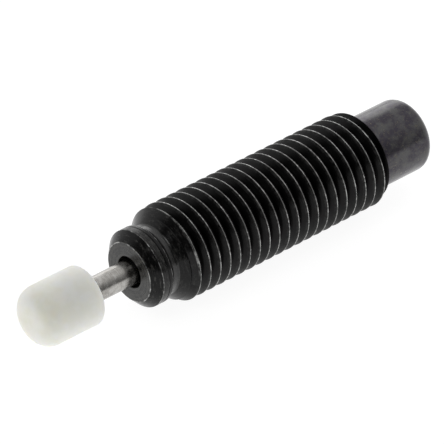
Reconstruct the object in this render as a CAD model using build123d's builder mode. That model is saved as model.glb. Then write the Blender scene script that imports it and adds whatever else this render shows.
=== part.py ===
from build123d import *
from math import sqrt
import os

# Miniature self-compensating shock absorber with an M8x1 body
# All sizes are in millimetres. The axis of the unit is the X axis, the impact cap points
# to -X and the closed end of the tube to +X. The origin is on the axis at the middle of
# the mounting thread. Every piece is shown with the piston rod fully out.

# Mounting thread: plain cylinder at the major diameter, the crests belong to the finish
thread_diameter = 7.82
thread_length = 20.0
thread_end_bevel = 0.38

# Stroke
stroke = 4.3
stop_gap = 0.04

# Clearances
turning_fit = 0.03
lip_fit = 0.02
seat_fit = 0.02
seal_room = 0.1
rest_gap = 0.05

# Piston rod
rod_diameter = 2.0
rod_nose_depth = 3.2
rod_nose_bevel = 0.2
snap_groove_depth = 0.18
snap_groove_width = 0.5
snap_groove_setback = 1.2
rod_spigot_diameter = 1.2

# Impact cap
cap_diameter = 4.84
cap_length = 5.34
cap_front_round = 1.45
cap_rear_bevel = 0.15

# Stop collar
collar_diameter = 6.3
collar_nose_length = 1.32
collar_bevel_length = 0.72
collar_bevel_height = 0.73
collar_hole_gap = 0.3
collar_lip_length = 1.0
collar_spigot_length = 2.88
joint_bevel = 0.06

# Front end of the tube
front_band_length = 0.31
neck_slope_length = 0.32
neck_floor_length = 0.5
neck_corner_round = 0.3
neck_wall = 0.5
crimp_depth = 0.25

# Rear end of the tube
sleeve_diameter = 6.0
sleeve_length = 5.42
sleeve_round = 0.85
tube_wall = 0.45
rear_wall = 2.6

# Seals round the rod
seal_width = 0.78
wiper_length = 1.25
wiper_lip_length = 0.45
washer_thickness = 0.4
seal_length = 1.25
seal_heel_length = 0.45
seal_lip_thickness = 0.22
o_ring_section = 0.42
o_ring_setback = 0.7

# Rod bearing with the accumulator sleeve on its neck
bearing_front_flange = 0.5
bearing_neck_length = 2.5
bearing_neck_wall = 0.42
bearing_rear_flange = 1.0
bearing_spigot_length = 0.6
oil_notch_diameter = 0.7
oil_notch_count = 4
foam_end_gap = 0.15

# Pressure tube with metering holes
oil_gap = 0.25
pressure_tube_wall = 0.3
metering_hole_diameter = 0.4
metering_hole_count = 4
metering_first_gap = 1.2
metering_spacing_ratio = 0.78

# Piston with its floating check ring
piston_gap = 0.1
piston_flange = 0.6
piston_port_diameter = 0.3
piston_port_count = 6
check_ring_length = 0.8
check_ring_width = 0.6
check_ring_float = 0.25
ring_plate_thickness = 0.4
ring_plate_inset = 0.15
ring_plate_slot = 0.5
piston_nut_length = 0.8
piston_nut_wall = 0.35
rod_tip_length = 0.1

# Return spring and its seats
spring_wire = 0.42
spring_gap = 0.29
spring_turns = 8
guide_flange = 0.4
guide_nose_length = 1.5
guide_nose_gap = 0.14
guide_nose_bevel = 0.25
base_flange = 0.5
base_spigot_length = 0.6
base_port_diameter = 0.8

# Fill port at the rear
ball_diameter = 1.0
port_diameter = 0.7
screw_diameter = 1.9
screw_length = 1.2
screw_socket = 0.9
screw_socket_depth = 0.7
screw_bevel = 0.12
port_mouth_bevel = 0.12

# Sides of a round wire or cord
wire_sides = 6

# Radii that the sizes above give
thread_r = thread_diameter / 2
rod_r = rod_diameter / 2
spigot_r = rod_spigot_diameter / 2
cap_r = cap_diameter / 2
collar_r = collar_diameter / 2
collar_face_r = collar_r - collar_bevel_height
collar_hole_r = rod_r + collar_hole_gap
sleeve_r = sleeve_diameter / 2
bore_r = sleeve_r - tube_wall
housing_fit_r = bore_r - seat_fit
crimp_r = bore_r - crimp_depth
neck_r = crimp_r + neck_wall
lip_r = rod_r + lip_fit
ring_outer_r = lip_r + seal_width
pocket_r = ring_outer_r + seat_fit
bushing_r = rod_r + turning_fit
bearing_neck_r = bushing_r + bearing_neck_wall
cylinder_outer_r = bore_r - oil_gap
cylinder_r = cylinder_outer_r - pressure_tube_wall
piston_r = cylinder_r - turning_fit
hub_r = piston_r - check_ring_width - turning_fit
coil_r = cylinder_r - spring_gap - spring_wire / 2
guide_nose_r = coil_r - spring_wire / 2 - guide_nose_gap
ball_r = ball_diameter / 2
port_r = port_diameter / 2
screw_r = screw_diameter / 2

# Stations along the axis, from the cap to the closed end
flare_length = thread_r - neck_r
neck_length = neck_slope_length + neck_floor_length
front_length = collar_nose_length + front_band_length + neck_length + flare_length
thread_front_x = -thread_length / 2
thread_rear_x = thread_length / 2
stop_face_x = thread_front_x - front_length
tube_front_x = stop_face_x + collar_nose_length
band_end_x = tube_front_x + front_band_length
neck_front_x = band_end_x + neck_slope_length
neck_rear_x = neck_front_x + neck_floor_length
rear_end_x = thread_rear_x + sleeve_length
chamber_end_x = rear_end_x - rear_wall

cap_rear_x = stop_face_x - stroke - stop_gap
cap_front_x = cap_rear_x - cap_length
rod_nose_x = cap_rear_x - rod_nose_depth
snap_x = rod_nose_x + snap_groove_setback

wiper_x = stop_face_x + collar_lip_length + rest_gap
washer_x = wiper_x + wiper_length + rest_gap
seal_x = washer_x + washer_thickness + rest_gap
collar_rear_x = tube_front_x + collar_spigot_length
o_ring_x = collar_rear_x - o_ring_setback

bearing_x = collar_rear_x + rest_gap
bearing_neck_x = bearing_x + bearing_front_flange
bearing_flange_x = bearing_neck_x + bearing_neck_length
cylinder_x = bearing_flange_x + bearing_rear_flange
bearing_end_x = cylinder_x + bearing_spigot_length

piston_x = bearing_end_x + piston_gap
ring_groove_x = piston_x + piston_flange
ring_x = ring_groove_x + seat_fit
plate_x = ring_x + check_ring_length + check_ring_float + rest_gap
nut_x = plate_x + ring_plate_thickness
rod_end_x = nut_x + piston_nut_length + rod_tip_length

guide_x = rod_end_x + rest_gap
spring_x = guide_x + guide_flange
base_flange_x = chamber_end_x - base_flange
base_spigot_x = base_flange_x - base_spigot_length

os.makedirs("parts", exist_ok=True)

# Outer tube: threaded body, crimped neck and rear sleeve in one piece
crimp_front_x = neck_front_x - crimp_depth
crimp_rear_x = neck_rear_x + crimp_depth
screw_hole_r = screw_r + seat_fit
ball_x = rear_end_x - screw_length - rest_gap - ball_r
ball_seat_x = ball_x + port_r - (ball_r + seat_fit) * sqrt(2)
with BuildPart() as outer_tube:
    with BuildSketch(Plane.XY):
        with BuildLine():
            Polyline(
                (tube_front_x, bore_r),
                (tube_front_x, collar_r - joint_bevel),
                (tube_front_x + joint_bevel, collar_r),
                (band_end_x, collar_r),
                (neck_front_x, neck_r),
                (neck_rear_x, neck_r),
                (thread_front_x, thread_r),
                (thread_rear_x - thread_end_bevel, thread_r),
                (thread_rear_x, thread_r - thread_end_bevel),
                (thread_rear_x, sleeve_r),
                (rear_end_x, sleeve_r),
                (rear_end_x, 0),
                (chamber_end_x, 0),
                (chamber_end_x, bore_r),
                (crimp_rear_x, bore_r),
                (neck_rear_x, crimp_r),
                (neck_front_x, crimp_r),
                (crimp_front_x, bore_r),
                close=True,
            )
        make_face()
    revolve(axis=Axis.X)
    neck_corners = outer_tube.edges().filter_by(GeomType.CIRCLE).filter_by(lambda edge: edge.radius == neck_r)
    fillet(neck_corners, neck_corner_round)
    rear_rim = outer_tube.edges().filter_by(GeomType.CIRCLE).group_by(Axis.X)[-1]
    fillet(rear_rim, sleeve_round)
    with BuildSketch(Plane.XY):
        with BuildLine():
            Polyline(
                (chamber_end_x, 0),
                (chamber_end_x, port_r),
                (ball_seat_x, port_r),
                (ball_seat_x + screw_hole_r - port_r, screw_hole_r),
                (rear_end_x - port_mouth_bevel, screw_hole_r),
                (rear_end_x, screw_hole_r + port_mouth_bevel),
                (rear_end_x, 0),
                close=True,
            )
        make_face()
    revolve(axis=Axis.X, mode=Mode.SUBTRACT)
outer_tube.part.label = "outer_tube"
export_step(outer_tube.part, "parts/outer_tube.step")

# Stop collar: the nose that the cap meets at the end of the stroke, crimped into the tube
groove_r = crimp_r - seat_fit
o_ring_room = o_ring_section + 2 * seat_fit
o_ring_floor_r = housing_fit_r - o_ring_section - seat_fit
with BuildPart() as stop_collar:
    with BuildSketch(Plane.XY):
        with BuildLine():
            Polyline(
                (stop_face_x, collar_hole_r),
                (stop_face_x, collar_face_r),
                (stop_face_x + collar_bevel_length, collar_r),
                (tube_front_x - joint_bevel, collar_r),
                (tube_front_x, collar_r - joint_bevel),
                (tube_front_x, housing_fit_r),
                (crimp_front_x - seat_fit, housing_fit_r),
                (neck_front_x - seat_fit, groove_r),
                (neck_rear_x + seat_fit, groove_r),
                (crimp_rear_x + seat_fit, housing_fit_r),
                (o_ring_x - o_ring_room / 2, housing_fit_r),
                (o_ring_x - o_ring_room / 2, o_ring_floor_r),
                (o_ring_x + o_ring_room / 2, o_ring_floor_r),
                (o_ring_x + o_ring_room / 2, housing_fit_r),
                (collar_rear_x, housing_fit_r),
                (collar_rear_x, pocket_r),
                (stop_face_x + collar_lip_length, pocket_r),
                (stop_face_x + collar_lip_length, collar_hole_r),
                close=True,
            )
        make_face()
    revolve(axis=Axis.X)
stop_collar.part.label = "stop_collar"
export_step(stop_collar.part, "parts/stop_collar.step")

# Wiper ring: a seat in the collar's pocket and a lip that leans on the rod
wiper_throat_r = (lip_r + ring_outer_r) / 2
with BuildPart() as wiper_ring:
    with BuildSketch(Plane.XY):
        with BuildLine():
            Polyline(
                (wiper_x, lip_r),
                (wiper_x, ring_outer_r),
                (wiper_x + wiper_length, ring_outer_r),
                (wiper_x + wiper_length, wiper_throat_r),
                (wiper_x + wiper_lip_length, wiper_throat_r),
                (wiper_x + wiper_lip_length / 2, lip_r),
                close=True,
            )
        make_face()
    revolve(axis=Axis.X)
wiper_ring.part.label = "wiper_ring"
export_step(wiper_ring.part, "parts/wiper_ring.step")

# Seal washer: backs the rod seal
with BuildPart() as seal_washer:
    with BuildSketch(Plane.YZ.offset(washer_x)):
        Circle(ring_outer_r)
        Circle(bushing_r, mode=Mode.SUBTRACT)
    extrude(amount=washer_thickness)
seal_washer.part.label = "seal_washer"
export_step(seal_washer.part, "parts/seal_washer.step")

# Rod seal: U-cup with its two lips towards the oil
with BuildPart() as rod_seal:
    with BuildSketch(Plane.XY):
        with BuildLine():
            Polyline(
                (seal_x, lip_r),
                (seal_x, ring_outer_r),
                (seal_x + seal_length, ring_outer_r),
                (seal_x + seal_length, ring_outer_r - seal_lip_thickness),
                (seal_x + seal_heel_length, ring_outer_r - seal_lip_thickness),
                (seal_x + seal_heel_length, lip_r + seal_lip_thickness),
                (seal_x + seal_length, lip_r + seal_lip_thickness),
                (seal_x + seal_length, lip_r),
                close=True,
            )
        make_face()
    revolve(axis=Axis.X)
rod_seal.part.label = "rod_seal"
export_step(rod_seal.part, "parts/rod_seal.step")

# O-ring round the collar's spigot, its round section drawn with few sides
with BuildPart() as collar_o_ring:
    with BuildSketch(Plane.XY):
        with Locations((o_ring_x, o_ring_floor_r + o_ring_section / 2 + seat_fit)):
            RegularPolygon(o_ring_section / 2, wire_sides)
    revolve(axis=Axis.X)
collar_o_ring.part.label = "collar_o_ring"
export_step(collar_o_ring.part, "parts/collar_o_ring.step")

# Rod bearing: two flanges, a neck for the foam and a spigot for the pressure tube
with BuildPart() as rod_bearing:
    with BuildSketch(Plane.XY):
        with BuildLine():
            Polyline(
                (bearing_x, bushing_r),
                (bearing_x, housing_fit_r),
                (bearing_neck_x, housing_fit_r),
                (bearing_neck_x, bearing_neck_r),
                (bearing_flange_x, bearing_neck_r),
                (bearing_flange_x, housing_fit_r),
                (cylinder_x, housing_fit_r),
                (cylinder_x, cylinder_r - seat_fit),
                (bearing_end_x, cylinder_r - seat_fit),
                (bearing_end_x, bushing_r),
                close=True,
            )
        make_face()
    revolve(axis=Axis.X)
    with BuildSketch(Plane.YZ.offset(bearing_flange_x)):
        with PolarLocations(bore_r, oil_notch_count):
            Circle(oil_notch_diameter / 2)
    extrude(amount=bearing_rear_flange, mode=Mode.SUBTRACT)
rod_bearing.part.label = "rod_bearing"
export_step(rod_bearing.part, "parts/rod_bearing.step")

# Accumulator foam: takes the oil that the rod displaces
with BuildPart() as accumulator_foam:
    with BuildSketch(Plane.YZ.offset(bearing_neck_x + foam_end_gap)):
        Circle(bore_r - seal_room)
        Circle(bearing_neck_r + seal_room, mode=Mode.SUBTRACT)
    extrude(amount=bearing_neck_length - 2 * foam_end_gap)
accumulator_foam.part.label = "accumulator_foam"
export_step(accumulator_foam.part, "parts/accumulator_foam.step")

# Pressure tube: the holes lie closer together towards the end of the stroke
first_hole_x = nut_x + metering_first_gap
hole_step = stroke / metering_hole_count / metering_spacing_ratio
hole_stations = [first_hole_x]
for index in range(metering_hole_count - 1):
    hole_stations.append(hole_stations[-1] + hole_step * metering_spacing_ratio**index)
with BuildPart() as pressure_tube:
    with BuildSketch(Plane.YZ.offset(cylinder_x)):
        Circle(cylinder_outer_r)
        Circle(cylinder_r, mode=Mode.SUBTRACT)
    extrude(amount=base_flange_x - cylinder_x)
    with BuildSketch(Plane.XY):
        with Locations(*[(station, 0) for station in hole_stations]):
            Circle(metering_hole_diameter / 2)
    extrude(amount=cylinder_outer_r + seal_room, mode=Mode.SUBTRACT)
pressure_tube.part.label = "pressure_tube"
export_step(pressure_tube.part, "parts/pressure_tube.step")

# Piston rod: snap groove under the cap, long ground shank, spigot for the piston
groove_floor_r = rod_r - snap_groove_depth
with BuildPart() as piston_rod:
    with BuildSketch(Plane.XY):
        with BuildLine():
            Polyline(
                (rod_nose_x, 0),
                (rod_nose_x, rod_r - rod_nose_bevel),
                (rod_nose_x + rod_nose_bevel, rod_r),
                (snap_x, rod_r),
                (snap_x, groove_floor_r),
                (snap_x + snap_groove_width, groove_floor_r),
                (snap_x + snap_groove_width, rod_r),
                (piston_x, rod_r),
                (piston_x, spigot_r),
                (rod_end_x, spigot_r),
                (rod_end_x, 0),
                close=True,
            )
        make_face()
    revolve(axis=Axis.X)
piston_rod.part.label = "piston_rod"
export_step(piston_rod.part, "parts/piston_rod.step")

# Impact cap: domed plastic button with a bead that snaps into the rod's groove
socket_r = rod_r + seat_fit
bead_r = groove_floor_r + seat_fit
with BuildPart() as impact_cap:
    with BuildSketch(Plane.YZ.offset(cap_front_x)):
        Circle(cap_r)
    extrude(amount=cap_length)
    fillet(impact_cap.edges().sort_by(Axis.X)[0], cap_front_round)
    chamfer(impact_cap.edges().sort_by(Axis.X)[-1], cap_rear_bevel)
    with BuildSketch(Plane.XY):
        with BuildLine():
            Polyline(
                (rod_nose_x - rest_gap, 0),
                (rod_nose_x - rest_gap, socket_r),
                (snap_x + seat_fit, socket_r),
                (snap_x + seat_fit, bead_r),
                (snap_x + snap_groove_width - seat_fit, bead_r),
                (snap_x + snap_groove_width - seat_fit, socket_r),
                (cap_rear_x, socket_r),
                (cap_rear_x, 0),
                close=True,
            )
        make_face()
    revolve(axis=Axis.X, mode=Mode.SUBTRACT)
impact_cap.part.label = "impact_cap"
export_step(impact_cap.part, "parts/impact_cap.step")

# Piston: front flange with return ports and a hub that the check ring floats on
with BuildPart() as piston:
    with BuildSketch(Plane.XY):
        with BuildLine():
            Polyline(
                (piston_x, spigot_r + seat_fit),
                (piston_x, piston_r),
                (ring_groove_x, piston_r),
                (ring_groove_x, hub_r),
                (plate_x, hub_r),
                (plate_x, spigot_r + seat_fit),
                close=True,
            )
        make_face()
    revolve(axis=Axis.X)
    with BuildSketch(Plane.YZ.offset(piston_x)):
        with PolarLocations((hub_r + piston_r) / 2, piston_port_count):
            Circle(piston_port_diameter / 2)
    extrude(amount=piston_flange, mode=Mode.SUBTRACT)
piston.part.label = "piston"
export_step(piston.part, "parts/piston.step")

# Check ring: closes the ports on the way in and lifts off them on the way out
with BuildPart() as check_ring:
    with BuildSketch(Plane.YZ.offset(ring_x)):
        Circle(piston_r)
        Circle(hub_r + turning_fit, mode=Mode.SUBTRACT)
    extrude(amount=check_ring_length)
check_ring.part.label = "check_ring"
export_step(check_ring.part, "parts/check_ring.step")

# Ring plate: slotted washer that limits the ring's lift and lets the oil past
plate_r = piston_r - ring_plate_inset
with BuildPart() as ring_plate:
    with BuildSketch(Plane.YZ.offset(plate_x)):
        Circle(plate_r)
        with PolarLocations(plate_r, piston_port_count):
            Rectangle(2 * (plate_r - hub_r), ring_plate_slot, mode=Mode.SUBTRACT)
        Circle(spigot_r + seat_fit, mode=Mode.SUBTRACT)
    extrude(amount=ring_plate_thickness)
ring_plate.part.label = "ring_plate"
export_step(ring_plate.part, "parts/ring_plate.step")

# Piston nut on the end of the rod's spigot
with BuildPart() as piston_nut:
    with BuildSketch(Plane.YZ.offset(nut_x)):
        RegularPolygon(spigot_r + piston_nut_wall, 6, major_radius=False)
        Circle(spigot_r + seat_fit, mode=Mode.SUBTRACT)
    extrude(amount=piston_nut_length)
piston_nut.part.label = "piston_nut"
export_step(piston_nut.part, "parts/piston_nut.step")

# Spring guide: carries the front end of the spring and rests on the rod's tip
guide_end_x = spring_x + guide_nose_length
with BuildPart() as spring_guide:
    with BuildSketch(Plane.XY):
        with BuildLine():
            Polyline(
                (guide_x, 0),
                (guide_x, piston_r - seal_room),
                (spring_x, piston_r - seal_room),
                (spring_x, guide_nose_r),
                (guide_end_x - guide_nose_bevel, guide_nose_r),
                (guide_end_x, guide_nose_r - guide_nose_bevel),
                (guide_end_x, 0),
                close=True,
            )
        make_face()
    revolve(axis=Axis.X)
spring_guide.part.label = "spring_guide"
export_step(spring_guide.part, "parts/spring_guide.step")

# Return spring: a coil between the guide and the tube base, its ends ground flat
# and its round wire drawn with few sides
spring_room = base_spigot_x - spring_x - 2 * rest_gap
coil_pitch = spring_room / spring_turns
coil_x = spring_x + rest_gap
with BuildPart() as return_spring:
    with BuildLine() as coil_line:
        Helix(coil_pitch, spring_room, coil_r, center=(coil_x, 0, 0), direction=(1, 0, 0))
    with BuildSketch(Plane(origin=coil_line.line @ 0, z_dir=coil_line.line % 0)):
        RegularPolygon(spring_wire / 2, wire_sides)
    sweep(path=coil_line.line, is_frenet=True)
    split(bisect_by=Plane.YZ.offset(coil_x), keep=Keep.TOP)
    split(bisect_by=Plane.YZ.offset(coil_x + spring_room), keep=Keep.BOTTOM)
return_spring.part.label = "return_spring"
export_step(return_spring.part, "parts/return_spring.step")

# Tube base: closes the pressure tube and seats the spring
with BuildPart() as tube_base:
    with BuildSketch(Plane.XY):
        with BuildLine():
            Polyline(
                (base_spigot_x, base_port_diameter / 2),
                (base_spigot_x, cylinder_r - seat_fit),
                (base_flange_x, cylinder_r - seat_fit),
                (base_flange_x, housing_fit_r),
                (chamber_end_x, housing_fit_r),
                (chamber_end_x, base_port_diameter / 2),
                close=True,
            )
        make_face()
    revolve(axis=Axis.X)
tube_base.part.label = "tube_base"
export_step(tube_base.part, "parts/tube_base.step")

# Seal ball: pressed on the seat of the fill port
with BuildPart() as seal_ball:
    with BuildSketch(Plane.XY):
        with BuildLine():
            CenterArc((ball_x, 0), ball_r, 0, 180)
            Line((ball_x - ball_r, 0), (ball_x + ball_r, 0))
        make_face()
    revolve(axis=Axis.X)
seal_ball.part.label = "seal_ball"
export_step(seal_ball.part, "parts/seal_ball.step")

# Fill screw: hexagon-socket set screw behind the ball
screw_x = rear_end_x - screw_length
with BuildPart() as fill_screw:
    with BuildSketch(Plane.YZ.offset(screw_x)):
        Circle(screw_r)
    extrude(amount=screw_length - rest_gap)
    chamfer(fill_screw.edges().group_by(Axis.X)[0], screw_bevel)
    chamfer(fill_screw.edges().group_by(Axis.X)[-1], screw_bevel)
    with BuildSketch(Plane.YZ.offset(rear_end_x - rest_gap)):
        RegularPolygon(screw_socket / 2, 6, major_radius=False)
    extrude(amount=-screw_socket_depth, mode=Mode.SUBTRACT)
fill_screw.part.label = "fill_screw"
export_step(fill_screw.part, "parts/fill_screw.step")
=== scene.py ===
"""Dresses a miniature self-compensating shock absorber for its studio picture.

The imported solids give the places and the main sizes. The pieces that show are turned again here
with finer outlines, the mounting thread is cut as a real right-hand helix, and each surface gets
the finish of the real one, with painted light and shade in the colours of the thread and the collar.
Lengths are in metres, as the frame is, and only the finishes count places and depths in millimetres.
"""
import logging
import math
from dataclasses import dataclass, field
from enum import Enum, IntEnum

import bpy
from mathutils import Matrix, Vector


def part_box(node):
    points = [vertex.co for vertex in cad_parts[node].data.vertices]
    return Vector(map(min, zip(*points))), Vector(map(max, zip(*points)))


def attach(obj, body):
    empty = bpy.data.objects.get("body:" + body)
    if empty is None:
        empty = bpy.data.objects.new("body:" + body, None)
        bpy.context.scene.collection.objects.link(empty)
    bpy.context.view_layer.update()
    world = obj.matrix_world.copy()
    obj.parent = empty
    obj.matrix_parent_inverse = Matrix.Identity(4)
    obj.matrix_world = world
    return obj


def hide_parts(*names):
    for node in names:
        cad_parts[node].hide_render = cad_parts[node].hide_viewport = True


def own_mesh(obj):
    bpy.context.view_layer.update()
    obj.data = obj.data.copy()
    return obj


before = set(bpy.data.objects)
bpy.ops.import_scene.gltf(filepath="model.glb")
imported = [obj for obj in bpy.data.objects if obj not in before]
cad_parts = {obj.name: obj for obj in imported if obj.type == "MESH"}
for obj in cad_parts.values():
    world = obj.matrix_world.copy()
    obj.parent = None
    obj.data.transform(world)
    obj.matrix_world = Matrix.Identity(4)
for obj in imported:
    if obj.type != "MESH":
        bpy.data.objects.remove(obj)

log = logging.getLogger("shock_absorber")

Socket = bpy.types.NodeSocket
Point = tuple[float, float]
Range = tuple[float, float]
Place = tuple[float, float, float]
Colour = tuple[float, float, float]

MM = 0.001
HAIR = 0.001 * MM
AXIS = Vector((1.0, 0.0, 0.0))
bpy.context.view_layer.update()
WHITE = (1.0, 1.0, 1.0, 1.0)
BARE_STEEL: Colour = (0.42, 0.42, 0.41)

# Where the values of a noise texture mostly lie
NOISE_RANGE: Range = (0.3, 0.7)

# Sockets of a Mix node that mixes colours
MIX_SHARE, MIX_FIRST, MIX_SECOND, MIX_RESULT = 0, 6, 7, 2


class Body(Enum):
    """The moving groups that new pieces ride on."""

    TUBE = "tube"
    ROD = "rod"


class Slot(Enum):
    """The record's material slots; no piece in this script is given one."""

    BLACK_STEEL = "black_steel"
    GROUND_STEEL = "ground_steel"
    SPRING_STEEL = "spring_steel"
    WHITE_PLASTIC = "white_plastic"
    RUBBER = "seal_rubber"


class Turn(Enum):
    """How many steps a turned piece has round the axis."""

    COARSE = 64
    FINE = 128


class Stretch(IntEnum):
    """The stretches of the body with a finish of their own, in the order of its materials."""

    THREAD = 0
    FLARE = 1
    SLEEVE = 2
    NECK = 3


class Side(IntEnum):
    """The sides of the collar with a finish of their own, in the order of its materials; the paler face
    carries painted light and the near-black bevel carries painted shade, on one blackened steel.
    """

    BAND = 0
    FACE = 1
    BEVEL = 2


@dataclass(frozen=True)
class Noise:
    """A noise texture: features on a millimetre, octaves of finer noise and their strength."""

    per_mm: float
    detail: float = 4.0
    rough: float = 0.6


class NodeBench:
    """Lays out the shader nodes of one material."""

    def __init__(self, name: str) -> None:
        """Starts an empty node tree with a Principled shader.

        Args:
            name: The material's name.
        """
        self.material = bpy.data.materials.new(name)
        self.material.use_nodes = True
        self.tree = self.material.node_tree
        self.tree.nodes.clear()
        self.output = self.node("ShaderNodeOutputMaterial")
        self.shader = self.node("ShaderNodeBsdfPrincipled")
        self.join(self.shader.outputs["BSDF"], self.output.inputs["Surface"])
        self.object_mm: Socket | None = None

    def node(self, kind: str, **settings: object) -> bpy.types.Node:
        """Adds one node.

        Args:
            kind: The node's type name.
            **settings: Properties to set on the node.

        Returns:
            The new node.
        """
        made = self.tree.nodes.new(kind)
        for key, value in settings.items():
            setattr(made, key, value)
        return made

    def join(self, source: Socket, target: Socket) -> None:
        """Links two sockets."""
        self.tree.links.new(source, target)

    def give(self, name: str, source: Socket) -> None:
        """Links a socket to one of the shader's own."""
        self.join(source, self.shader.inputs[name])

    def set(self, name: str, value: float | tuple[float, ...]) -> None:
        """Sets one of the shader's own sockets to a constant."""
        self.shader.inputs[name].default_value = value

    def feed(self, target: Socket, value: Socket | float | tuple[float, ...]) -> None:
        """Links a socket, or sets a constant, whichever the value is.

        Args:
            target: The socket to feed.
            value: Another socket or a constant.
        """
        if isinstance(value, Socket):
            self.join(value, target)
        else:
            target.default_value = value

    def maths(self, operation: str, *values: Socket | float) -> Socket:
        """Adds a Math node.

        Args:
            operation: What it does, such as MULTIPLY.
            *values: The sockets and constants that it works on.

        Returns:
            The result.
        """
        made = self.node("ShaderNodeMath", operation=operation)
        for socket, value in zip(made.inputs, values):
            self.feed(socket, value)
        return made.outputs[0]

    def weigh(self, first: Socket, second: Socket, share: float) -> Socket:
        """Adds two values by their weights.

        Args:
            first: The value that counts by the share.
            second: The value that counts by the rest.
            share: Weight of the first value, from 0 to 1.

        Returns:
            The weighed value.
        """
        heavy = self.maths("MULTIPLY", first, share)
        light = self.maths("MULTIPLY", second, 1.0 - share)
        return self.maths("ADD", heavy, light)

    def place_mm(self) -> Socket:
        """Counts the Object coordinates in millimetres.

        Returns:
            The coordinates, made once for each material.
        """
        if self.object_mm is None:
            coordinates = self.node("ShaderNodeTexCoord")
            scale = self.node("ShaderNodeVectorMath", operation="SCALE")
            self.join(coordinates.outputs["Object"], scale.inputs[0])
            scale.inputs["Scale"].default_value = 1.0 / MM
            self.object_mm = scale.outputs[0]
        return self.object_mm

    def along(self) -> Socket:
        """Finds how far along the axis a place is.

        Returns:
            The place along the axis in millimetres.
        """
        split = self.node("ShaderNodeSeparateXYZ")
        self.join(self.place_mm(), split.inputs[0])
        return split.outputs["X"]

    def radius(self) -> Socket:
        """Finds how far off the axis a place is.

        Returns:
            The distance from the axis in millimetres.
        """
        flat = self.node("ShaderNodeVectorMath", operation="MULTIPLY")
        self.join(self.place_mm(), flat.inputs[0])
        flat.inputs[1].default_value = (0.0, 1.0, 1.0)
        length = self.node("ShaderNodeVectorMath", operation="LENGTH")
        self.join(flat.outputs[0], length.inputs[0])
        return length.outputs["Value"]

    def rings(self) -> Socket:
        """Makes coordinates that are the same all the way round the axis.

        Returns:
            The place along the axis and the radius, as the first two coordinates.
        """
        joined = self.node("ShaderNodeCombineXYZ")
        self.join(self.along(), joined.inputs["X"])
        self.join(self.radius(), joined.inputs["Y"])
        return joined.outputs[0]

    def streaks(self, stretch: float) -> Socket:
        """Makes coordinates in which a noise is drawn out round the axis.

        Args:
            stretch: How many times longer round the axis than along it a feature is.

        Returns:
            The coordinates in millimetres.
        """
        made = self.node("ShaderNodeVectorMath", operation="MULTIPLY")
        self.join(self.place_mm(), made.inputs[0])
        made.inputs[1].default_value = (stretch, 1.0, 1.0)
        return made.outputs[0]

    def noise(self, vector: Socket, look: Noise) -> Socket:
        """Adds a noise texture.

        Args:
            vector: Coordinates in millimetres.
            look: How fine and how rough the noise is.

        Returns:
            The noise value from 0 to 1.
        """
        made = self.node("ShaderNodeTexNoise")
        self.join(vector, made.inputs["Vector"])
        made.inputs["Scale"].default_value = look.per_mm
        made.inputs["Detail"].default_value = look.detail
        made.inputs["Roughness"].default_value = look.rough
        return made.outputs[0]

    def span(self, value: Socket, over: Range, onto: Range = (0.0, 1.0)) -> Socket:
        """Maps a value smoothly from one range to another.

        Args:
            value: The value to map.
            over: Where the mapping starts and where it ends.
            onto: The result at each of them.

        Returns:
            The mapped value.
        """
        made = self.node("ShaderNodeMapRange", interpolation_type="SMOOTHSTEP")
        self.join(value, made.inputs["Value"])
        for name, limit in zip(("From Min", "From Max", "To Min", "To Max"), (*over, *onto)):
            made.inputs[name].default_value = limit
        return made.outputs[0]

    def blend(self, share: Socket, first: Socket | Colour, second: Socket | Colour) -> Socket:
        """Mixes two colours.

        Args:
            share: Share of the second colour, from 0 to 1.
            first: The colour at a share of 0.
            second: The colour at a share of 1.

        Returns:
            The mixed colour.
        """
        made = self.node("ShaderNodeMix", data_type="RGBA")
        self.join(share, made.inputs[MIX_SHARE])
        for index, value in ((MIX_FIRST, first), (MIX_SECOND, second)):
            self.feed(made.inputs[index], value if isinstance(value, Socket) else (*value, 1.0))
        return made.outputs[MIX_RESULT]

    def bump(self, height: Socket, depth_mm: float, below: Socket | None = None) -> Socket:
        """Adds a bump of a real depth.

        Args:
            height: Height from 0 to 1.
            depth_mm: Depth that a height of 1 stands for.
            below: Normal of a coarser bump under this one.

        Returns:
            The bumped normal.
        """
        made = self.node("ShaderNodeBump")
        self.join(height, made.inputs["Height"])
        made.inputs["Distance"].default_value = depth_mm * MM
        if below is not None:
            self.join(below, made.inputs["Normal"])
        return made.outputs[0]

    def wander(self, noise: Socket, roughness: float, less: float = 0.05, more: float = 0.08) -> None:
        """Lets the roughness wander with a noise.

        Args:
            noise: The noise value.
            roughness: The finish's own roughness.
            less: How much smoother the smoothest places are.
            more: How much rougher the roughest places are.
        """
        self.give("Roughness", self.span(noise, NOISE_RANGE, (roughness - less, roughness + more)))

    def turned(self, strength: float) -> None:
        """Draws the highlights out round the axis, as on a turned face.

        Args:
            strength: How strongly they are drawn out, from 0 to 1.
        """
        tangent = self.node("ShaderNodeTangent", direction_type="RADIAL", axis="X")
        self.give("Tangent", tangent.outputs[0])
        self.set("Anisotropic", strength)


@dataclass(frozen=True)
class WornEdge:
    """A turned edge that handling has rubbed bright, with its place in millimetres."""

    along: float
    radius: float
    reach: float = 0.05
    core: float = 0.3

    def mask(self, bench: NodeBench) -> Socket:
        """Marks the edge.

        Args:
            bench: The material's nodes.

        Returns:
            1 on the edge and in its core, falling to 0 at its reach.
        """
        gap = bench.node("ShaderNodeVectorMath", operation="DISTANCE")
        bench.join(bench.rings(), gap.inputs[0])
        gap.inputs[1].default_value = (self.along, self.radius, 0.0)
        return bench.span(gap.outputs["Value"], (self.core * self.reach, self.reach), (1.0, 0.0))


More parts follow.
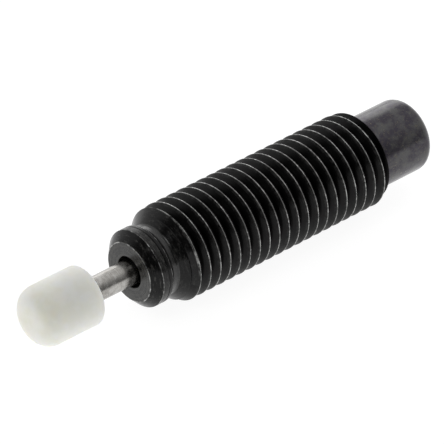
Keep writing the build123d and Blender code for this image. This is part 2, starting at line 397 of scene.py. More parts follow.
@dataclass(frozen=True)
class ThreadOxide:
    """Deep black oxide on the cut thread, with painted shade that darkens it towards the groove roots and a
    painted paler band that lightens it towards the crests, which are rubbed bare.
    """

    name: str
    # From pale down to dark is painted shade in the grooves: darkest at the groove roots, palest just under
    # the crests
    dark: Colour = (0.0004, 0.0004, 0.0004)
    pale: Colour = (0.048, 0.048, 0.0465)
    bare: Colour = BARE_STEEL
    painted_shade_radii: Range = (3.64, 3.87)
    bare_radii: Range = (3.87, 3.902)
    cloud: Noise = Noise(2.4)
    marks: Noise = Noise(6.0, rough=0.7)
    mark_range: Range = (0.4, 0.6)
    mark_tones: Range = (0.35, 1.0)
    mark_depth: float = 0.007
    grain: Noise = Noise(3.5, 5.0, 0.7)
    grain_range: Range = (0.36, 0.62)
    rubbed: Range = (0.3, 1.0)
    roughness: float = 0.24
    crest_range: Range = (0.1, 0.9)
    crest_roughness: float = 0.2
    gloss: float = 0.155

    def make(self) -> bpy.types.Material:
        """Makes the finish.

        Returns:
            The finished material.
        """
        bench = NodeBench(self.name)
        cloud = bench.span(bench.noise(bench.place_mm(), self.cloud), NOISE_RANGE)
        marks = bench.noise(bench.rings(), self.marks)
        toned = bench.maths("MULTIPLY", cloud, bench.span(marks, self.mark_range, self.mark_tones))
        # Painted shade by depth: 0 at the groove roots and 1 just under the crests, so the random tone is
        # darkened down in the grooves
        painted_groove_shading = bench.span(bench.radius(), self.painted_shade_radii)
        skin = bench.blend(bench.maths("MULTIPLY", painted_groove_shading, toned), self.dark, self.pale)
        patchy = bench.span(bench.noise(bench.place_mm(), self.grain), self.grain_range, self.rubbed)
        crest = bench.maths("MULTIPLY", bench.span(bench.radius(), self.bare_radii), patchy)
        bench.give("Base Color", bench.blend(crest, skin, self.bare))
        bench.give("Metallic", crest)
        bench.set("Specular IOR Level", self.gloss)
        bench.give("Roughness", bench.span(crest, self.crest_range, (self.roughness, self.crest_roughness)))
        bench.give("Normal", bench.bump(marks, self.mark_depth))
        return bench.material


@dataclass(frozen=True)
class TurnedOxide:
    """Blackened steel with the tool's rings still showing, scuffed, with its edges rubbed."""

    name: str
    dark: Colour = (0.0012, 0.0012, 0.0012)
    pale: Colour = (0.011, 0.011, 0.0105)
    scuffed: Colour = (0.075, 0.073, 0.068)
    bare: Colour = BARE_STEEL
    gloss: float = 0.28
    rings: Noise = Noise(3.2, 5.0, 0.7)
    ring_share: float = 0.7
    ring_depth: float = 0.012
    cloud: Noise = Noise(2.2)
    tone_range: Range = (0.42, 0.58)
    roughness: float = 0.21
    scuffs: float = 0.6
    streak: float = 4.0
    grain: Noise = Noise(1.8, 5.0, 0.7)
    grain_range: Range = (0.5, 0.72)
    edges: tuple[WornEdge, ...] = ()
    edge_range: Range = (0.4, 0.62)
    edge_rubbed: Range = (0.05, 0.9)

    def make(self) -> bpy.types.Material:
        """Makes the finish.

        Returns:
            The finished material.
        """
        bench = NodeBench(self.name)
        rings = bench.noise(bench.rings(), self.rings)
        cloud = bench.noise(bench.place_mm(), self.cloud)
        tone = bench.weigh(rings, cloud, self.ring_share)
        skin = bench.blend(bench.span(tone, self.tone_range), self.dark, self.pale)
        grain = bench.span(bench.noise(bench.streaks(self.streak), self.grain), self.grain_range)
        skin = bench.blend(bench.maths("MULTIPLY", grain, self.scuffs), skin, self.scuffed)
        bright = None
        for edge in self.edges:
            patchy = bench.span(cloud, self.edge_range, self.edge_rubbed)
            worn = bench.maths("MULTIPLY", edge.mask(bench), patchy)
            bright = worn if bright is None else bench.maths("MAXIMUM", bright, worn)
        if bright is not None:
            skin = bench.blend(bright, skin, self.bare)
            bench.give("Metallic", bright)
        bench.give("Base Color", skin)
        bench.set("Specular IOR Level", self.gloss)
        bench.wander(cloud, self.roughness)
        bench.give("Normal", bench.bump(rings, self.ring_depth))
        return bench.material


@dataclass(frozen=True)
class BurnishedOxide:
    """Rolled and blackened sleeve with a faint brown and violet bloom."""

    name: str
    steel: Colour = (0.082, 0.081, 0.083)
    violet: Colour = (0.042, 0.037, 0.05)
    brown: Colour = (0.12, 0.107, 0.082)
    metal: float = 0.75
    roughness: float = 0.2
    bloom: Noise = Noise(1.1, 5.0, 0.65)
    bloom_range: Range = (0.38, 0.62)
    bloom_depth: float = 0.006
    spots: Noise = Noise(5.5, 5.0, 0.75)
    spot_range: Range = (0.5, 0.75)
    rings: Noise = Noise(5.0)
    ring_depth: float = 0.0015

    def make(self) -> bpy.types.Material:
        """Makes the finish.

        Returns:
            The finished material.
        """
        bench = NodeBench(self.name)
        bloom = bench.noise(bench.place_mm(), self.bloom)
        spots = bench.noise(bench.place_mm(), self.spots)
        skin = bench.blend(bench.span(bloom, self.bloom_range), self.steel, self.violet)
        bench.give("Base Color", bench.blend(bench.span(spots, self.spot_range), skin, self.brown))
        bench.set("Metallic", self.metal)
        bench.wander(spots, self.roughness)
        coarse = bench.bump(bloom, self.bloom_depth)
        rings = bench.noise(bench.rings(), self.rings)
        bench.give("Normal", bench.bump(rings, self.ring_depth, coarse))
        return bench.material


@dataclass(frozen=True)
class GroundSteel:
    """Centreless-ground rod with fine marks round it."""

    name: str
    dark: Colour = (0.28, 0.268, 0.25)
    pale: Colour = (0.5, 0.49, 0.47)
    marks: Noise = Noise(11.0, rough=0.7)
    mark_share: float = 0.4
    mark_depth: float = 0.0004
    cloud: Noise = Noise(2.6)
    tone_range: Range = (0.35, 0.65)
    roughness: float = 0.23
    drawn_out: float = 0.3

    def make(self) -> bpy.types.Material:
        """Makes the finish.

        Returns:
            The finished material.
        """
        bench = NodeBench(self.name)
        marks = bench.noise(bench.rings(), self.marks)
        cloud = bench.noise(bench.place_mm(), self.cloud)
        tone = bench.span(bench.weigh(marks, cloud, self.mark_share), self.tone_range)
        bench.give("Base Color", bench.blend(tone, self.dark, self.pale))
        bench.set("Metallic", 1.0)
        bench.wander(cloud, self.roughness, less=0.04)
        bench.give("Normal", bench.bump(marks, self.mark_depth))
        bench.turned(self.drawn_out)
        return bench.material


@dataclass(frozen=True)
class Acetal:
    """Off-white acetal, slightly translucent, with a turned skin."""

    name: str
    clear: Colour = (0.88, 0.873, 0.79)
    milk: Colour = (0.92, 0.915, 0.85)
    roughness: float = 0.5
    depth_mm: float = 2.2
    scatter: Colour = (1.0, 0.9, 0.7)
    cloud: Noise = Noise(0.8, 3.0)
    cloud_range: Range = (0.35, 0.65)
    grain: Noise = Noise(6.0)
    grain_depth: float = 0.003

    def make(self) -> bpy.types.Material:
        """Makes the finish.

        Returns:
            The finished material.
        """
        bench = NodeBench(self.name)
        cloud = bench.noise(bench.place_mm(), self.cloud)
        bench.give("Base Color", bench.blend(bench.span(cloud, self.cloud_range), self.clear, self.milk))
        bench.set("Subsurface Weight", 1.0)
        bench.set("Subsurface Radius", self.scatter)
        bench.set("Subsurface Scale", self.depth_mm * MM)
        grain = bench.noise(bench.rings(), self.grain)
        bench.wander(grain, self.roughness, less=0.04, more=0.05)
        bench.give("Normal", bench.bump(grain, self.grain_depth))
        return bench.material


@dataclass(frozen=True)
class Moulded:
    """Dark moulded rubber, foam or filled plastic, a little dusty in its low places."""

    name: str
    dark: Colour = (0.006, 0.006, 0.006)
    dusty: Colour = (0.018, 0.018, 0.018)
    grain: Noise = Noise(6.0, 5.0, 0.7)
    grain_range: Range = (0.35, 0.7)
    grain_depth: float = 0.01
    roughness: float = 0.62

    def make(self) -> bpy.types.Material:
        """Makes the finish.

        Returns:
            The finished material.
        """
        bench = NodeBench(self.name)
        grain = bench.noise(bench.place_mm(), self.grain)
        bench.give("Base Color", bench.blend(bench.span(grain, self.grain_range), self.dark, self.dusty))
        bench.wander(grain, self.roughness, less=0.08)
        bench.give("Normal", bench.bump(grain, self.grain_depth))
        return bench.material


@dataclass(frozen=True)
class TurnedMetal:
    """Plain turned or drawn metal for the pieces inside."""

    name: str
    dark: Colour
    pale: Colour
    roughness: float = 0.3
    rings: Noise = Noise(8.0, rough=0.7)
    ring_range: Range = (0.35, 0.65)
    ring_depth: float = 0.003

    def make(self) -> bpy.types.Material:
        """Makes the finish.

        Returns:
            The finished material.
        """
        bench = NodeBench(self.name)
        rings = bench.noise(bench.rings(), self.rings)
        bench.give("Base Color", bench.blend(bench.span(rings, self.ring_range), self.dark, self.pale))
        bench.set("Metallic", 1.0)
        bench.wander(rings, self.roughness)
        bench.give("Normal", bench.bump(rings, self.ring_depth))
        return bench.material


@dataclass(frozen=True)
class GlowingPaper:
    """White paper that shines a little by itself, as a table lit from below does."""

    name: str
    dark: Colour = (0.18, 0.18, 0.18)
    pale: Colour = (0.2, 0.2, 0.2)
    fibre: Noise = Noise(0.5, 3.0)
    roughness: float = 0.9
    glow: float = 0.93

    def make(self) -> bpy.types.Material:
        """Makes the finish.

        Returns:
            The finished material.
        """
        bench = NodeBench(self.name)
        fibre = bench.noise(bench.place_mm(), self.fibre)
        bench.give("Base Color", bench.blend(fibre, self.dark, self.pale))
        bench.set("Roughness", self.roughness)
        bench.set("Emission Color", WHITE)
        bench.set("Emission Strength", self.glow)
        return bench.material


@dataclass
class Outline:
    """Half of a turned piece's section, as places along the axis and radii."""

    points: list[Point] = field(default_factory=list)

    def to(self, x: float, r: float) -> "Outline":
        """Adds a corner and returns the outline."""
        self.points.append((x, r))
        return self

    def round_to(self, corner: Point, after: Point, radius: float, steps: int) -> "Outline":
        """Adds a rounded corner.

        Args:
            corner: Where the two straight stretches would meet.
            after: A point further along the second stretch.
            radius: Radius of the round.
            steps: How many chords the round has.

        Returns:
            The outline, to add more to.
        """
        here = Vector(corner)
        back = (Vector(self.points[-1]) - here).normalized()
        ahead = (Vector(after) - here).normalized()
        half = back.angle(ahead) / 2
        reach = radius / math.tan(half)
        centre = here + (back + ahead).normalized() * (radius / math.sin(half))
        start = here + back * reach - centre
        leftwards = start.y * back.x - start.x * back.y > 0
        sweep = (math.pi - 2 * half) * (1 if leftwards else -1)
        for index in range(steps + 1):
            turn = sweep * index / steps
            cos, sin = math.cos(turn), math.sin(turn)
            spot = centre + Vector((start.x * cos - start.y * sin, start.x * sin + start.y * cos))
            self.points.append((spot.x, spot.y))
        return self


class Lathe:
    """Turns outlines into meshes, as a lathe turns bar."""

    WELD = 0.0002 * MM
    SMOOTH_BELOW = math.radians(24)

    @staticmethod
    def select_only(piece: bpy.types.Object) -> None:
        """Selects one object and makes it active.

        Args:
            piece: The object.
        """
        bpy.ops.object.select_all(action="DESELECT")
        piece.select_set(True)
        bpy.context.view_layer.objects.active = piece

    @staticmethod
    def wire(name: str, points: list[Point], closed: bool, angle: float = 0.0) -> bpy.types.Object:
        """Draws an outline as a chain of edges in a half plane through the axis.

        Args:
            name: Name of the new object.
            points: Places along the axis and radii.
            closed: Whether the last point joins the first.
            angle: Angle of the half plane round the axis, from +Y towards +Z.

        Returns:
            The wire object, still in edit mode with all selected.
        """
        def spot(point: Point) -> Vector:
            """Returns where a point of the outline lies."""
            return Vector((point[0], point[1] * math.cos(angle), point[1] * math.sin(angle)))

        bpy.ops.object.select_all(action="DESELECT")
        bpy.ops.mesh.primitive_plane_add(size=MM, location=spot(points[0]))
        piece = bpy.context.active_object
        piece.name = piece.data.name = name
        bpy.ops.object.transform_apply(location=True, rotation=True, scale=True)
        bpy.ops.object.mode_set(mode="EDIT")
        bpy.ops.mesh.select_all(action="SELECT")
        bpy.ops.mesh.merge(type="CENTER")
        bpy.ops.mesh.select_mode(type="VERT")
        for before, after in zip(points, points[1:]):
            bpy.ops.mesh.extrude_region_move(TRANSFORM_OT_translate={"value": spot(after) - spot(before)})
        if closed:
            bpy.ops.object.mode_set(mode="OBJECT")
            last = len(piece.data.vertices) - 1
            for index, vertex in enumerate(piece.data.vertices):
                vertex.select = index in (0, last)
            bpy.ops.object.mode_set(mode="EDIT")
            bpy.ops.mesh.edge_face_add()
        bpy.ops.mesh.select_all(action="SELECT")
        return piece

    @classmethod
    def turn(cls, name: str, outline: Outline, closed: bool, steps: Turn = Turn.FINE) -> bpy.types.Object:
        """Spins an outline round the axis into a closed piece.

        Args:
            name: Name of the piece.
            outline: The half section.
            closed: Whether the section is a ring that stays off the axis.
            steps: How finely it is stepped.

        Returns:
            The turned piece in object mode.
        """
        piece = cls.wire(name, outline.points, closed)
        bpy.ops.mesh.spin(steps=steps.value, angle=2 * math.pi, center=(0, 0, 0), axis=AXIS)
        cls.close_up(piece)
        return piece

    @staticmethod
    def wind(piece: bpy.types.Object, pitch: float, turns: int, steps: int) -> None:
        """Winds a closed section round the axis as a right-hand helix and closes its ends.

        Args:
            piece: The section, in object mode.
            pitch: How far each turn goes along the axis.
            turns: How many turns.
            steps: How many steps a turn has.
        """
        bpy.ops.object.modifier_add(type="SCREW")
        screw = piece.modifiers[-1]
        screw.axis = "X"
        screw.angle = 2 * math.pi
        screw.screw_offset = pitch
        screw.iterations = turns
        screw.steps = screw.render_steps = steps
        screw.use_merge_vertices = False
        bpy.ops.object.modifier_apply(modifier=screw.name)
        bpy.ops.object.mode_set(mode="EDIT")
        bpy.ops.mesh.select_all(action="SELECT")
        bpy.ops.mesh.fill_holes(sides=0)
        bpy.ops.mesh.normals_make_consistent(inside=False)
        bpy.ops.object.mode_set(mode="OBJECT")

    @classmethod
    def close_up(cls, piece: bpy.types.Object) -> None:
        """Merges doubles, turns the faces outwards, smooths the shading and leaves edit mode.

        Args:
            piece: The piece, in either mode.
        """
        if bpy.context.mode != "EDIT_MESH":
            cls.select_only(piece)
            bpy.ops.object.mode_set(mode="EDIT")
        bpy.ops.mesh.select_all(action="SELECT")
        bpy.ops.mesh.remove_doubles(threshold=cls.WELD)
        bpy.ops.mesh.normals_make_consistent(inside=False)
        bpy.ops.object.mode_set(mode="OBJECT")
        cls.select_only(piece)
        bpy.ops.object.shade_smooth_by_angle(angle=cls.SMOOTH_BELOW)

    @classmethod
    def cut(cls, piece: bpy.types.Object, cutter: bpy.types.Object) -> None:
        """Cuts one piece with another and deletes the cutter.

        Args:
            piece: The piece to cut.
            cutter: The closed mesh that is taken out of it.
        """
        cls.select_only(piece)
        bpy.ops.object.modifier_add(type="BOOLEAN")
        tool = piece.modifiers[-1]
        tool.operation = "DIFFERENCE"
        tool.solver = "EXACT"
        tool.object = cutter
        bpy.ops.object.modifier_apply(modifier=tool.name)
        bpy.data.objects.remove(cutter, do_unlink=True)


def dress(piece: bpy.types.Object, *materials: bpy.types.Material) -> None:
    """Gives a piece its materials.

    Args:
        piece: The piece.
        *materials: The materials, in the order of their numbers on the faces.
    """
    piece.data.materials.clear()
    for material in materials:
        piece.data.materials.append(material)


def stand_in(piece: bpy.types.Object, node: str, body: Body) -> None:
    """Declares a new piece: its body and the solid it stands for.

    Args:
        piece: The new piece.
        node: The solid that it replaces.
        body: The group that it moves with.
    """
    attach(piece, body.value)
    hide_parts(node)
    log.info("%s stands for %s: %d faces", piece.name, node, len(piece.data.polygons))


@dataclass
class ThreadedTube:
    """The black body: front band, crimped neck, mounting thread and rear sleeve."""

    pitch: float = 1.0 * MM
    thread_length: float = 20.0 * MM
    thread_rear_bevel: float = 0.38 * MM
    crest_radius: float = 3.905 * MM
    crest_flat: float = 0.045 * MM
    crest_bevel: float = 0.012 * MM
    crest_break: float = 0.0024 * MM
    root_radius: float = 3.31 * MM
    root_flat: float = 0.1 * MM
    root_rise: float = 0.03 * MM
    first_crest: float = 3.62 * MM
    first_crest_angle: float = math.radians(137.8)
    tool_turns: int = 23
    tool_lead_in: int = 2
    tool_overhang: float = 0.2 * MM
    band_length: float = 0.31 * MM
    band_bevel: float = 0.05 * MM
    band_round: float = 0.06 * MM
    neck_slope: float = 0.32 * MM
    neck_floor: float = 0.5 * MM
    neck_radius: float = 2.8 * MM
    neck_round: float = 0.3 * MM
    neck_finish_past: float = 0.2 * MM
    flare_finish_short: float = 0.02 * MM
    sleeve_radius: float = 3.0 * MM
    sleeve_round: float = 0.85 * MM
    bore_radius: float = 2.55 * MM
    port_radius: float = 0.97 * MM
    port_bevel: float = 0.12 * MM
    ball_room: float = 0.6 * MM
    oil_hole_radius: float = 0.3 * MM
    oil_hole_length: float = 0.7 * MM

    def __post_init__(self) -> None:
        """Takes the main places from the frame."""
        low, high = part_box("outer_tube")
        collar_low, collar_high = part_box("stop_collar")
        screw_low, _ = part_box("fill_screw")
        self.front = low.x
        self.rear = high.x
        self.face = collar_low.x
        self.band_radius = collar_high.z
        self.band_end = self.front + self.band_length
        self.neck_front = self.band_end + self.neck_slope
        self.neck_rear = self.neck_front + self.neck_floor
        self.thread_rear = self.thread_length / 2
        self.thread_front = -self.thread_length / 2
        self.port_floor = screw_low.x - self.ball_room

    def blank(self) -> bpy.types.Object:
        """Turns the body before its thread is cut.

        Returns:
            The turned body.
        """
        neck_start = (self.neck_front, self.neck_radius)
        neck_end = (self.neck_rear, self.neck_radius)
        flare_end = (self.thread_front, self.crest_radius)
        line = Outline()
        line.to(self.front, self.bore_radius)
        line.to(self.front, self.band_radius - self.band_bevel)
        line.to(self.front + self.band_bevel, self.band_radius)
        line.round_to((self.band_end, self.band_radius), neck_start, self.band_round, steps=4)
        line.round_to(neck_start, neck_end, self.neck_round, steps=8)
        line.round_to(neck_end, flare_end, self.neck_round, steps=8)
        line.to(*flare_end)
        line.to(self.thread_rear - self.thread_rear_bevel, self.crest_radius)
        line.to(self.thread_rear, self.crest_radius - self.thread_rear_bevel)
        line.to(self.thread_rear, self.sleeve_radius)
        line.round_to((self.rear, self.sleeve_radius), (self.rear, 0.0), self.sleeve_round, steps=12)
        line.to(self.rear, self.port_radius + self.port_bevel)
        line.to(self.rear - self.port_bevel, self.port_radius)
        line.to(self.port_floor, self.port_radius)
        line.to(self.port_floor, self.oil_hole_radius)
        line.to(self.port_floor - self.oil_hole_length, self.oil_hole_radius)
        line.to(self.port_floor - self.oil_hole_length, self.bore_radius)
        return Lathe.turn("threaded_tube", line, closed=True)

    def thread_tool(self) -> bpy.types.Object:
        """Makes the cutter: a sixty-degree groove wound along the whole thread and past both ends.

        Returns:
            The cutter, a closed mesh.
        """
        mouth = (self.pitch - self.crest_flat) / 2
        root = self.root_flat / 2
        outside = self.crest_radius + self.tool_overhang
        lip = self.crest_radius - self.crest_break
        flank = self.crest_radius - self.crest_bevel
        foot = self.root_radius + self.root_rise
        start = self.face + self.first_crest - (self.tool_lead_in + 0.5) * self.pitch
        groove = [
            (start - mouth, outside),
            (start - mouth, lip),
            (start - mouth + self.crest_bevel, flank),
            (start - root, foot),
            (start - root / 2, self.root_radius),
            (start + root / 2, self.root_radius),
            (start + root, foot),
            (start + mouth - self.crest_bevel, flank),
            (start + mouth, lip),
            (start + mouth, outside),
        ]
        tool = Lathe.wire("thread_tool", groove, True, self.first_crest_angle)
        bpy.ops.object.mode_set(mode="OBJECT")
        Lathe.wind(tool, self.pitch, self.tool_turns, Turn.FINE.value)
        return tool

    def stretch_of(self, spot: Vector) -> Stretch:
        """Finds which stretch a face belongs to.

        Args:
            spot: The middle of the face.

        Returns:
            The stretch.
        """
        reach = math.hypot(spot.y, spot.z)
        neck_from = self.band_end + self.neck_slope / 2
        neck_to = self.neck_rear + self.neck_finish_past
        if neck_from < spot.x < neck_to and reach > self.bore_radius:
            return Stretch.NECK
        if spot.x < self.thread_front - self.flare_finish_short:
            return Stretch.FLARE
        if spot.x > self.thread_rear - HAIR and reach < self.sleeve_radius + HAIR:
            return Stretch.SLEEVE
        return Stretch.THREAD

    def build(self) -> None:
        piece = self.blank()
        Lathe.cut(piece, self.thread_tool())
        Lathe.close_up(piece)
        band_edge = WornEdge(self.band_end / MM, self.band_radius / MM, reach=0.04)
        thread_edge = WornEdge(self.thread_front / MM, self.crest_radius / MM, reach=0.16)
        thread = ThreadOxide("oxide_thread")
        flare = TurnedOxide(
            "oxide_flare", pale=(0.004, 0.004, 0.004), gloss=0.22, roughness=0.17, scuffs=0.5,
            edges=(band_edge, thread_edge),
        )
        sleeve = BurnishedOxide("oxide_sleeve")
        neck = TurnedOxide(
            "oxide_neck", pale=(0.014, 0.014, 0.013), gloss=0.5, roughness=0.18, scuffs=0.7,
            rings=Noise(6.0, 5.0, 0.7), ring_depth=0.008,
        )
        dress(piece, thread.make(), flare.make(), sleeve.make(), neck.make())
        for face in piece.data.polygons:
            face.material_index = self.stretch_of(face.center)
        stand_in(piece, "outer_tube", Body.TUBE)


@dataclass
class StopCollar:
    """The bevelled nose that the cap meets at the end of its stroke."""

    bevel_length: float = 0.72 * MM
    bevel_height: float = 0.73 * MM
    bevel_lean: float = -0.3
    hole_radius: float = 1.3 * MM
    lip_length: float = 1.0 * MM
    pocket_radius: float = 1.82 * MM
    spigot_radius: float = 2.5 * MM
    edge: float = 0.035 * MM
    rear_bevel: float = 0.05 * MM

    def build(self) -> None:
        """Turns the collar and gives each side its own finish, with painted light in the face's paler
        colour and painted shade in the bevel's near-black colour.
        """
        low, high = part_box("stop_collar")
        tube_low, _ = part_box("outer_tube")
        radius = high.z
        face_radius = radius - self.bevel_height
        shoulder = low.x + self.bevel_length
        line = Outline()
        line.to(low.x + self.lip_length, self.hole_radius)
        line.to(low.x + self.edge, self.hole_radius)
        line.to(low.x, self.hole_radius + self.edge)
        line.round_to((low.x, face_radius), (shoulder, radius), self.edge, steps=4)
        line.round_to((shoulder, radius), (tube_low.x, radius), self.edge, steps=4)
        line.to(tube_low.x - self.rear_bevel, radius)
        line.to(tube_low.x, radius - self.rear_bevel)
        line.to(tube_low.x, self.spigot_radius)
        line.to(high.x, self.spigot_radius)
        line.to(high.x, self.pocket_radius)
        line.to(low.x + self.lip_length, self.pocket_radius)
        piece = Lathe.turn("turned_collar", line, closed=True)
        rims = (WornEdge(low.x / MM, face_radius / MM, reach=0.07), WornEdge(shoulder / MM, radius / MM))
        band = TurnedOxide(
            "oxide_band", pale=(0.024, 0.024, 0.0225), gloss=0.25, scuffs=0.9,
            rings=Noise(6.0, 5.0, 0.7), ring_depth=0.016, edges=rims,
        )
        # Painted light: the face gets a paler colour than the rest of the same blackened steel
        face = TurnedOxide(
            "oxide_face_painted_light", dark=(0.002, 0.002, 0.002), pale=(0.045, 0.044, 0.041), gloss=0.45, scuffs=0.15,
            rings=Noise(3.4, 5.0, 0.7), edges=rims,
        )
        # Painted shade: the bevel gets a near-black colour, darker than the rest of the same blackened
        # steel
        bevel = TurnedOxide("oxide_bevel_painted_shade", pale=(0.002, 0.002, 0.002), gloss=0.19, scuffs=0.7, edges=rims)
        dress(piece, band.make(), face.make(), bevel.make())
        slack = self.edge / 2
        for polygon in piece.data.polygons:
            if polygon.center.x < low.x + slack:
                polygon.material_index = Side.FACE
            elif polygon.center.x < shoulder - slack and polygon.normal.x < self.bevel_lean:
                polygon.material_index = Side.BEVEL
            else:
                polygon.material_index = Side.BAND
        stand_in(piece, "stop_collar", Body.TUBE)


@dataclass
class WiperRing:
    """The rubber ring behind the collar's hole, with its lip on the rod."""

    lip_radius: float = 1.02 * MM
    lip_front: float = 0.1 * MM
    lip_rear: float = 0.22 * MM
    front_rise: float = 0.12 * MM
    hollow_front: float = 0.45 * MM
    hollow_rise: float = 0.35 * MM

    def build(self) -> None:
        """Turns the ring."""
        low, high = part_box("wiper_ring")
        hollow_radius = self.lip_radius + self.hollow_rise
        line = Outline()
        line.to(low.x + self.lip_front, self.lip_radius)
        line.to(low.x, self.lip_radius + self.front_rise)
        line.to(low.x, high.z)
        line.to(high.x, high.z)
        line.to(high.x, hollow_radius)
        line.to(low.x + self.hollow_front, hollow_radius)
        line.to(low.x + self.lip_rear, self.lip_radius)
        piece = Lathe.turn("wiper_lip", line, closed=True, steps=Turn.COARSE)
        dress(piece, Moulded("wiper_rubber").make())
        stand_in(piece, "wiper_ring", Body.TUBE)


@dataclass
class RodAndCap:
    """The ground rod and the acetal cap on its end."""

    dome_round: float = 1.45 * MM
    rear_round: float = 0.22 * MM
    socket_radius: float = 1.02 * MM
    socket_bevel: float = 0.06 * MM
    socket_room: float = 0.05 * MM
    rod_nose: float = 0.2 * MM
    spigot_radius: float = 0.6 * MM

    def build(self) -> None:
        """Turns both pieces."""
        self.cap()
        self.rod()

    def cap(self) -> None:
        """Turns the cap with its round front and its socket."""
        low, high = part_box("impact_cap")
        rod_low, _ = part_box("piston_rod")
        socket_end = rod_low.x - self.socket_room
        line = Outline()
        line.to(low.x, 0.0)
        line.round_to((low.x, high.z), (high.x, high.z), self.dome_round, steps=16)
        line.round_to((high.x, high.z), (high.x, 0.0), self.rear_round, steps=6)
        line.to(high.x, self.socket_radius + self.socket_bevel)
        line.to(high.x - self.socket_bevel, self.socket_radius)
        line.to(socket_end, self.socket_radius)
        line.to(socket_end, 0.0)
        piece = Lathe.turn("acetal_cap", line, closed=False)
        dress(piece, Acetal("acetal").make())
        stand_in(piece, "impact_cap", Body.ROD)

    def rod(self) -> None:
        """Turns the rod with its nose bevel and its spigot."""
        low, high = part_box("piston_rod")
        piston_low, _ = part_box("piston")
        line = Outline()
        line.to(low.x, 0.0)
        line.to(low.x, high.z - self.rod_nose)
        line.to(low.x + self.rod_nose, high.z)
        line.to(piston_low.x, high.z)
        line.to(piston_low.x, self.spigot_radius)
        line.to(high.x, self.spigot_radius)
        line.to(high.x, 0.0)
        piece = Lathe.turn("ground_rod", line, closed=False)
        dress(piece, GroundSteel("rod_steel").make())
        stand_in(piece, "piston_rod", Body.ROD)


@dataclass
class ReturnSpring:
    """The coil behind the spring guide, which closes up as the rod goes in."""

    wire: float = 0.42 * MM
    wire_sides: int = 12
    turns: int = 8
    turn_steps: int = 40

    def build(self) -> None:
        """Winds the coil and grinds its ends flat."""
        low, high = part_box("return_spring")
        length = high.x - low.x
        thick = self.wire / 2
        angles = [2 * math.pi * side / self.wire_sides for side in range(self.wire_sides)]
        section = [
            (low.x + thick * math.cos(angle), high.z - thick + thick * math.sin(angle)) for angle in angles
        ]
        piece = Lathe.wire("coil_spring", section, True)
        bpy.ops.object.mode_set(mode="OBJECT")
        Lathe.wind(piece, length / self.turns, self.turns, self.turn_steps)
        bpy.ops.object.mode_set(mode="EDIT")
        for place, outwards in ((low.x, -AXIS), (high.x, AXIS)):
            bpy.ops.mesh.select_all(action="SELECT")
            bpy.ops.mesh.bisect(plane_co=(place, 0, 0), plane_no=outwards, clear_outer=True)
        bpy.ops.mesh.select_all(action="SELECT")
        bpy.ops.mesh.fill_holes(sides=0)
        Lathe.close_up(piece)
        dress(piece, TurnedMetal("spring_wire", (0.2, 0.2, 0.19), (0.36, 0.35, 0.33), 0.36).make())
        stand_in(piece, "return_spring", Body.TUBE)
        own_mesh(piece)


@dataclass
class InnerPieces:
    """The solids whose shape is right as it is, by what they are made of."""

    steel: tuple[str, ...] = (
        "seal_washer", "pressure_tube", "piston", "ring_plate", "piston_nut", "spring_guide", "tube_base",
        "seal_ball",
    )
    brass: tuple[str, ...] = ("rod_bearing",)
    rubber: tuple[str, ...] = ("rod_seal", "collar_o_ring")
    foam: tuple[str, ...] = ("accumulator_foam",)
    filled_plastic: tuple[str, ...] = ("check_ring",)
    blackened: tuple[str, ...] = ("fill_screw",)

    def build(self) -> None:
        """Gives each solid its finish."""
        steel = TurnedMetal("turned_steel", (0.36, 0.36, 0.36), (0.56, 0.56, 0.55))
        brass = TurnedMetal("turned_brass", (0.55, 0.38, 0.16), (0.72, 0.54, 0.26), 0.28)
        foam = Moulded(
            "cell_foam", (0.01, 0.01, 0.01), (0.05, 0.05, 0.05), grain=Noise(4.0, 5.0, 0.7), roughness=0.9,
        )
        filled = Moulded(
            "filled_plastic", (0.05, 0.045, 0.04), (0.09, 0.08, 0.07), grain=Noise(5.0, 5.0, 0.7),
            roughness=0.5,
        )
        self.finish(self.steel, steel.make())
        self.finish(self.brass, brass.make())
        self.finish(self.rubber, Moulded("seal_rubber").make())
        self.finish(self.foam, foam.make())
        self.finish(self.filled_plastic, filled.make())
        self.finish(self.blackened, TurnedOxide("oxide_screw").make())

    @staticmethod
    def finish(nodes: tuple[str, ...], material: bpy.types.Material) -> None:
        """Gives some solids one material.

        Args:
            nodes: Their names.
            material: The material.
        """
        for node in nodes:
            dress(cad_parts[node], material)
            log.info("%s dressed in %s", node, material.name)


@dataclass(frozen=True)
class Softbox:
    """A square window of soft light: where it hangs, its side in metres and its watts."""

    name: str
    place: Place
    side: float
    power: float

    def hang(self) -> None:
        """Hangs the light so that it faces the unit."""
        data = bpy.data.lights.new(self.name, "AREA")
        data.size = self.side
        data.energy = self.power
        lamp = bpy.data.objects.new(self.name, data)
        lamp.location = self.place
        lamp.rotation_mode = "QUATERNION"
        lamp.rotation_quaternion = (-Vector(self.place)).to_track_quat("-Z", "Y")
        bpy.context.scene.collection.objects.link(lamp)


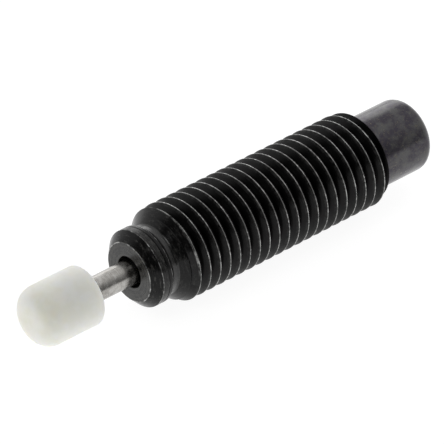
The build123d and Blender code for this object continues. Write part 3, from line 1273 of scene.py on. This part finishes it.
@dataclass
class Studio:
    """The pale table, the soft light and the camera of the picture.

    The mark is the axis at the thread's first crest, and its place is counted from the camera.
    """

    azimuth: float = math.radians(-41.93)
    elevation: float = math.radians(34.05)
    focal_pixels: float = 4077.6
    picture_pixels: float = 444.0
    sensor: float = 36.0
    clip_start: float = 0.01
    mark_right: float = -4.246 * MM
    mark_up: float = -2.406 * MM
    mark_ahead: float = 306.737 * MM
    floor_size: float = 6.0
    room_far: float = 0.9
    room_near: float = 0.09
    dim_range: Range = (-0.1, 0.38)
    dim_lift: float = 0.15
    softboxes: tuple[Softbox, ...] = (
        Softbox("far_side", (0.3, 0.33, 0.14), 0.22, 0.16),
        Softbox("above_cap", (-0.24, -0.08, 0.37), 0.2, 0.28),
    )

    def build(self) -> None:
        """Sets the table, the room, the lights and the camera."""
        self.table()
        self.room()
        for softbox in self.softboxes:
            softbox.hang()
        self.camera()
        bpy.context.scene.view_settings.view_transform = "Standard"

    def directions(self) -> tuple[Vector, Vector, Vector]:
        """Works out how the camera is turned.

        Returns:
            Its right, up and back directions.
        """
        right = Vector((math.cos(self.azimuth), math.sin(self.azimuth), 0.0))
        level = Vector((math.sin(self.azimuth), -math.cos(self.azimuth), 0.0))
        back = level * math.cos(self.elevation) + Vector((0.0, 0.0, math.sin(self.elevation)))
        return right, back.cross(right), back

    def camera(self) -> None:
        """Places the camera by its mark."""
        right, up, back = self.directions()
        body = ThreadedTube()
        mark = Vector((body.face + body.first_crest, 0.0, 0.0))
        place = mark - right * self.mark_right - up * self.mark_up + back * self.mark_ahead
        data = bpy.data.cameras.new("picture_camera")
        data.sensor_width = self.sensor
        data.lens = self.focal_pixels / self.picture_pixels * self.sensor
        data.clip_start = self.clip_start
        camera = bpy.data.objects.new("picture_camera", data)
        bpy.context.scene.collection.objects.link(camera)
        turn = Matrix((right, up, back)).transposed().to_4x4()
        camera.matrix_world = Matrix.Translation(place) @ turn
        bpy.context.scene.camera = camera

    def table(self) -> None:
        """Lays a pale table under the thread's crests."""
        _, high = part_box("outer_tube")
        bpy.ops.object.select_all(action="DESELECT")
        bpy.ops.mesh.primitive_plane_add(size=self.floor_size, location=(0, 0, -high.z))
        floor = bpy.context.active_object
        floor.name = "pale_table"
        dress(floor, GlowingPaper("pale_paper").make())

    def room(self) -> None:
        """Fills the room with soft white light, dimmer on the near side where the camera stands."""
        world = bpy.data.worlds.new("white_room")
        bpy.context.scene.world = world
        world.use_nodes = True
        tree = world.node_tree
        background = tree.nodes["Background"]
        background.inputs["Color"].default_value = WHITE
        way = tree.nodes.new("ShaderNodeTexCoord")
        nearness = tree.nodes.new("ShaderNodeVectorMath")
        nearness.operation = "DOT_PRODUCT"
        near = self.directions()[2] * Vector((1.0, 1.0, self.dim_lift))
        nearness.inputs[1].default_value = near.normalized()
        strength = tree.nodes.new("ShaderNodeMapRange")
        strength.interpolation_type = "SMOOTHSTEP"
        limits = (*self.dim_range, self.room_far, self.room_near)
        for name, limit in zip(("From Min", "From Max", "To Min", "To Max"), limits):
            strength.inputs[name].default_value = limit
        tree.links.new(way.outputs["Generated"], nearness.inputs[0])
        tree.links.new(nearness.outputs["Value"], strength.inputs["Value"])
        tree.links.new(strength.outputs["Result"], background.inputs["Strength"])


def main() -> None:
    """Builds the studio and the unit in order."""
    logging.basicConfig(level=logging.INFO)
    for part in (
        Studio(), ThreadedTube(), StopCollar(), WiperRing(), RodAndCap(), ReturnSpring(), InnerPieces(),
    ):
        part.build()
        log.info("%s is built", type(part).__name__)


if __name__ == "__main__":
    main()
